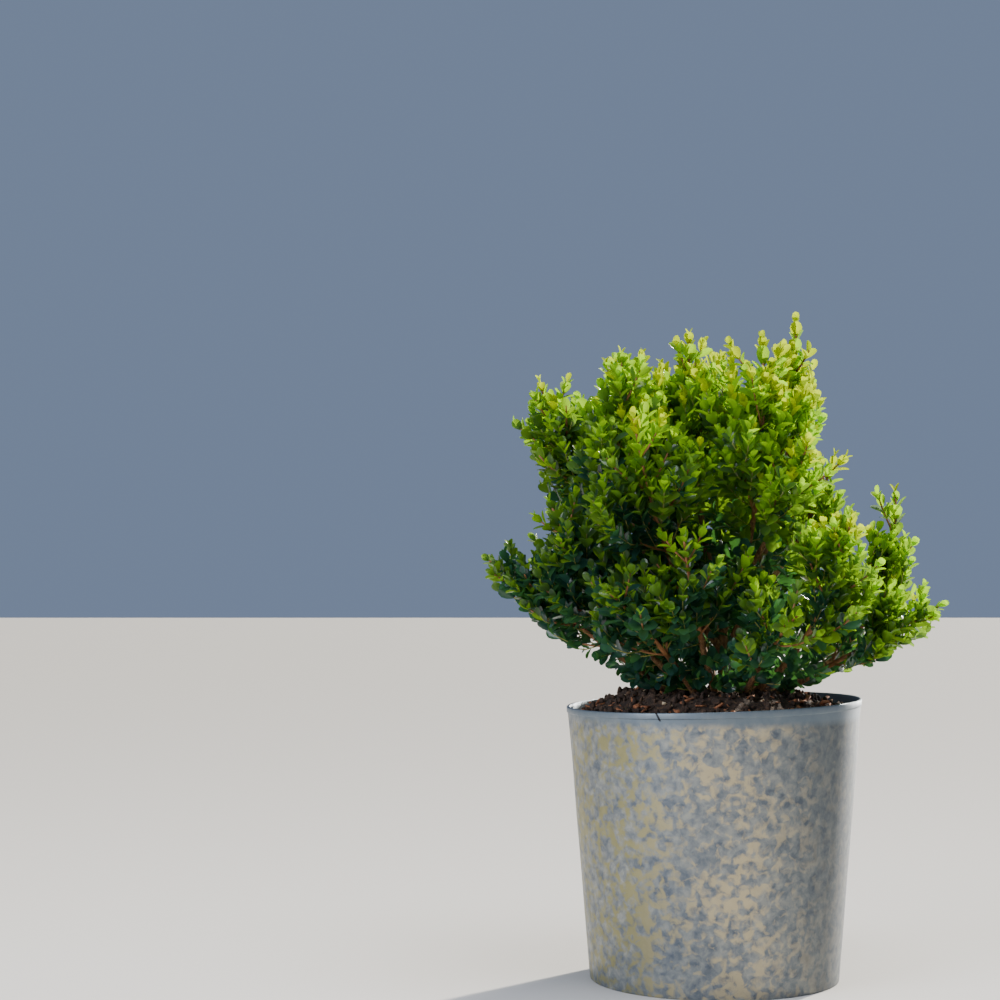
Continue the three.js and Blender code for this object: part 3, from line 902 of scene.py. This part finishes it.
# Soil: a low crumbled mound, with crumbs and wood chips lying on it


def soil_height(x, y):
    edge = wall_radius(SOIL_EDGE_TOP) - TUB_SHEET - SOIL_GAP_TO_TUB
    radius = math.hypot(x, y)
    share = min(1, max(0, (edge - radius) / (edge - SOIL_FLAT_RADIUS)))
    fall = (1 + math.cos(math.pi * share)) / 2
    place = Vector((x, y, 0))
    lumps = sum(height * noise.noise(place / width) for height, width in SOIL_LUMPS)
    fading = min(1, (edge - radius) / SOIL_LUMPS_FADE)
    return mix(SOIL_TOP, SOIL_EDGE_TOP, fall) + lumps * fading


def soil_mesh():
    inner_radius = {height: wall_radius(height) - TUB_SHEET - SOIL_GAP_TO_TUB
                    for height in (TUB_FLOOR + GAP, SOIL_EDGE_TOP)}
    edge = inner_radius[SOIL_EDGE_TOP]
    profile = [(0, TUB_FLOOR + GAP), (inner_radius[TUB_FLOOR + GAP], TUB_FLOOR + GAP)]
    profile += [(edge * (1 - step / SOIL_STEPS), SOIL_EDGE_TOP) for step in range(SOIL_STEPS + 1)]
    bm = spun(profile, SOIL_TURNS)
    for vertex in bm.verts:
        if vertex.co.z > TUB_FLOOR + 1:
            vertex.co.z = soil_height(vertex.co.x, vertex.co.y)
    return mesh_from_bmesh("soil", bm)


def scattered(count, seed, sizes, flatness, tilt):
    """Rows for small pieces lying on the soil, each with its own size and lie."""
    draw = SeededDraws(seed)
    rows = []
    edge = wall_radius(SOIL_EDGE_TOP) - LITTER_MARGIN
    for _ in range(count):
        radius = edge * math.sqrt(draw())
        angle = 2 * math.pi * draw()
        x = radius * math.cos(angle)
        y = radius * math.sin(angle)
        size = mix(*sizes, draw() ** 2)
        lie = Matrix.Rotation(math.radians(tilt * (draw() - 0.5)), 3, "X")
        lie = Matrix.Rotation(2 * math.pi * draw(), 3, "Z") @ lie
        root = Vector((x, y, soil_height(x, y) + size * flatness * LITTER_LIFT))
        across = lie.col[0] * size * mix(*LITTER_WIDTHS, draw())
        rows.append((*root, *across, *(lie.col[1] * size), *(lie.col[2] * size * flatness)))
    return rows


def chip_template():
    bm = bmesh.new()
    bmesh.ops.create_cube(bm, size=1)
    for vertex in bm.verts:
        if vertex.co.y > 0:
            vertex.co.x *= CHIP_TAPERS[0]
            vertex.co.z *= CHIP_TAPERS[1]
    return template_from(bm)


def crumb_template():
    bm = bmesh.new()
    bmesh.ops.create_icosphere(bm, subdivisions=1, radius=0.5)
    for vertex in bm.verts:
        vertex.co *= 1 + CRUMB_RELIEF * noise.noise(vertex.co * 3)
    return template_from(bm)


# Trunk and boughs: ringed stems with corky relief that runs along them


def bark_relief(x, y, distance, seed):
    """How far the bark stands out or in at one place, as a share of the stem's radius."""
    ridges = noise.noise(Vector((
        RIDGE_FINENESS * x, RIDGE_FINENESS * y, distance / RIDGE_LENGTH + seed)))
    lumps = noise.noise(Vector((x, y, distance / LUMP_LENGTH + 7 * seed)))
    return 1 + RIDGE_SHARE * ridges + LUMP_SHARE * lumps


def stem_rings(bm, curve, last, radii, flare, sides, spacing, seed):
    """Bridged rings along a curve as far as the share `last`, with a cap at either end."""
    length = curve.length() * last
    steps = max(4, round(length / spacing))
    across = perpendicular_to(curve.tangent(0), 0)
    before = None
    for step in range(steps + 1):
        share = last * step / steps
        tangent = curve.tangent(share)
        across = (across - tangent * across.dot(tangent)).normalized()
        other = tangent.cross(across)
        centre = curve.point(share)
        place = Matrix((across, other, tangent)).transposed().to_4x4()
        place.translation = centre
        caps = step in (0, steps)
        ring = bmesh.ops.create_circle(bm, cap_ends=caps, radius=1, segments=sides)["verts"]
        along = share / last
        radius = mix(*radii, along) + flare[0] * math.exp(-along * length / flare[1])
        distance = curve.length() * share
        for vertex in ring:
            x, y, _ = vertex.co
            vertex.co = Vector((x, y, 0)) * radius * bark_relief(x, y, distance, seed)
        bmesh.ops.transform(bm, matrix=place, verts=ring)
        if before:
            edges = {edge for vertex in before + ring for edge in vertex.link_edges
                     if all(end in before for end in edge.verts)
                     or all(end in ring for end in edge.verts)}
            bmesh.ops.bridge_loops(bm, edges=list(edges))
        before = ring


def trunk_mesh():
    bm = bmesh.new()
    stem_rings(bm, trunk_curve, 1, TRUNK_RADIUS, TRUNK_FLARE,
               TRUNK_SIDES, TRUNK_RING_SPACING, seed=1)
    return mesh_from_bmesh("trunk", bm)


def boughs_mesh():
    bm = bmesh.new()
    for number, limb in enumerate(limbs):
        stem_rings(bm, limb.curve, limb.ring["bough_share"], limb.ring["radius"], BOUGH_FLARE,
                   BOUGH_SIDES, BOUGH_RING_SPACING, seed=3 + number)
    return mesh_from_bmesh("boughs", bm)


# Leaf: blunt, widest beyond its middle, folded a little along its midrib and cupped


def leaf_template():
    bm = bmesh.new()
    bmesh.ops.create_grid(bm, x_segments=2, y_segments=5, size=0.5)
    for vertex in bm.verts:
        side = 2 * vertex.co.x
        along, half = LEAF_OUTLINE[round(vertex.co.y + 0.5, 1)]
        notch = LEAF_NOTCH if along == 1 and side == 0 else 0
        lift = LEAF_FOLD * abs(side) * half - LEAF_DROOP * along ** 2 + LEAF_RISE * along
        vertex.co = Vector((side * half / 2, along - notch, lift))
    return template_from(bm)


# Everything that grows

sprays = Sprays()
woody = []
green = []
for number, limb in enumerate(limbs):
    draw = SeededDraws(SPRAY_SEED + number)
    bough_end = limb.ring["bough_share"]
    woody.append((limb.curve, bough_end, limb.ring["radius"][1], STEM_TIP_RADIUS))
    twigs = grow_twigs(limb)
    first_leaf = limb.length * mix(bough_end, 1, STEM_LEAVES_START)
    leaf_pairs(sprays, limb, limb.curve, first_leaf, draw)
    stem_shares = (mix(bough_end, 1, STEM_SHOOTS_START), SHOOT_SHARES[1])
    shoots = grow_shoots(limb, limb.curve, stem_shares, draw)
    bough_shares = (BASAL_SHARES[0], bough_end * BASAL_SHARES[1])
    shoots += grow_shoots(limb, limb.curve, bough_shares, draw,
                          BASAL_SPACING, limb.ring["basal_length"], BASAL_SPREAD, BASAL_RISE)
    for twig in twigs:
        woody.append((twig, 0, *TWIG_RADIUS))
        leaf_pairs(sprays, limb, twig, twig.length() * TWIG_LEAVES_START, draw)
        shoots += grow_shoots(limb, twig, SHOOT_SHARES, draw)
    for shoot in shoots:
        green.append((shoot, 0, *SHOOT_RADIUS))
        leaf_pairs(sprays, limb, shoot, LEAF_START, draw)

# Pieces

foliage_nodes = [f"foliage_{limb.name}" for limb in limbs]
bough_nodes = [f"bough_{limb.name}" for limb in limbs]

make_piece("tub_sheet", tub_mesh(), galvanised_sheet(), ["tub"])
make_piece("soil_mound", soil_mesh(), potting_compost(), ["soil"])
bark = box_bark()
make_piece("trunk_bark", trunk_mesh(), bark, ["trunk"])
make_piece("boughs_bark", boughs_mesh(), bark, bough_nodes)

make_copies(
    "soil_chips", chip_template(),
    scattered(count=230, seed=31, sizes=(5, 18), flatness=0.2, tilt=90),
    chipped_wood("softwood_chips_shredded", "#B4784E", "#6B3A20"))
make_copies(
    "soil_pale_chips", chip_template(),
    scattered(count=80, seed=47, sizes=(4, 11), flatness=0.3, tilt=90),
    chipped_wood("softwood_splinters_pale", "#E2D2B4", "#A5845A"))
make_copies(
    "soil_crumbs", crumb_template(),
    scattered(count=1300, seed=53, sizes=(3, 12), flatness=0.75, tilt=180),
    potting_compost())

twig_mesh = mesh_from_lists("twigs", *joined_tubes(woody, sides=6, steps=8))
make_piece("twigs", twig_mesh, young_wood("box_twigs_ripening", "#8A5C36"), foliage_nodes)
shoot_mesh = mesh_from_lists("shoots", *joined_tubes(green, sides=4, steps=3))
make_piece("shoots", shoot_mesh, young_wood("box_shoots_green", "#8A8A3C"), foliage_nodes)

for tone, skin in LEAF_SKINS.items():
    make_copies(f"leaves_{tone}", leaf_template(), sprays.by_tone[tone],
                waxy_leaf(f"box_leaf_{tone}", *skin), foliage_nodes)

# Floor, light and camera, placed in metres


def plain_floor():
    bm = bmesh.new()
    bmesh.ops.create_grid(bm, x_segments=1, y_segments=1, size=12)
    mesh = mesh_from_bmesh("floor", bm)
    material, tree, output = new_material("floor_plain")
    shader = add_node(tree, "ShaderNodeBsdfPrincipled", inputs={
        "Base Color": colour("#C9C6C0"), "Roughness": 0.9})
    tree.links.new(shader.outputs["BSDF"], output.inputs["Surface"])
    mesh.materials.append(material)
    floor = bpy.data.objects.new("floor", mesh)
    bpy.context.scene.collection.objects.link(floor)


def lamp_at(name, kind, place, target, power, hex_code):
    light = bpy.data.lights.new(name, kind)
    light.energy = power
    light.color = colour(hex_code)[:3]
    lamp = bpy.data.objects.new(name, light)
    lamp.location = place
    lamp.rotation_euler = (Vector(target) - Vector(place)).to_track_quat("-Z", "Y").to_euler()
    lamp.visible_camera = False
    bpy.context.scene.collection.objects.link(lamp)
    return light


def camera_at(place, pitch, view_angle):
    camera = bpy.data.cameras.new("camera")
    camera.sensor_fit = "HORIZONTAL"
    camera.angle = math.radians(view_angle)
    holder = bpy.data.objects.new("camera", camera)
    holder.location = place
    holder.rotation_euler = (math.radians(90 + pitch), 0, 0)
    bpy.context.scene.collection.objects.link(holder)
    bpy.context.scene.camera = holder


plain_floor()
sun = lamp_at("sun", "SUN", place=(1.29, 1.66, 2.03), target=(0, 0, 0.5),
              power=7.6, hex_code="#FFF7E8")
sun.angle = math.radians(2)
low_glow = lamp_at("low_glow", "SUN", place=(1.56, 2.07, 0.64), target=(0, 0, 0.5),
                   power=4, hex_code="#FFFCF4")
low_glow.angle = math.radians(6)
front_sky = lamp_at("front_sky", "AREA", place=(-2.3, -1.9, 1.35), target=(0, 0, 0.35),
                    power=92, hex_code="#F0F4FF")
front_sky.size = 1.9
top_sky = lamp_at("top_sky", "AREA", place=(0.5, -0.6, 2.7), target=(0, 0, 0.6),
                  power=60, hex_code="#F2F5FF")
top_sky.size = 1.6
world = bpy.data.worlds.new("plain_sky")
world.use_nodes = True
background = world.node_tree.nodes["Background"]
background.inputs["Color"].default_value = colour("#9DB2D6")
background.inputs["Strength"].default_value = 0.5
bpy.context.scene.world = world
camera_at(place=(-0.233, -2.57, 0.475), pitch=1, view_angle=24)
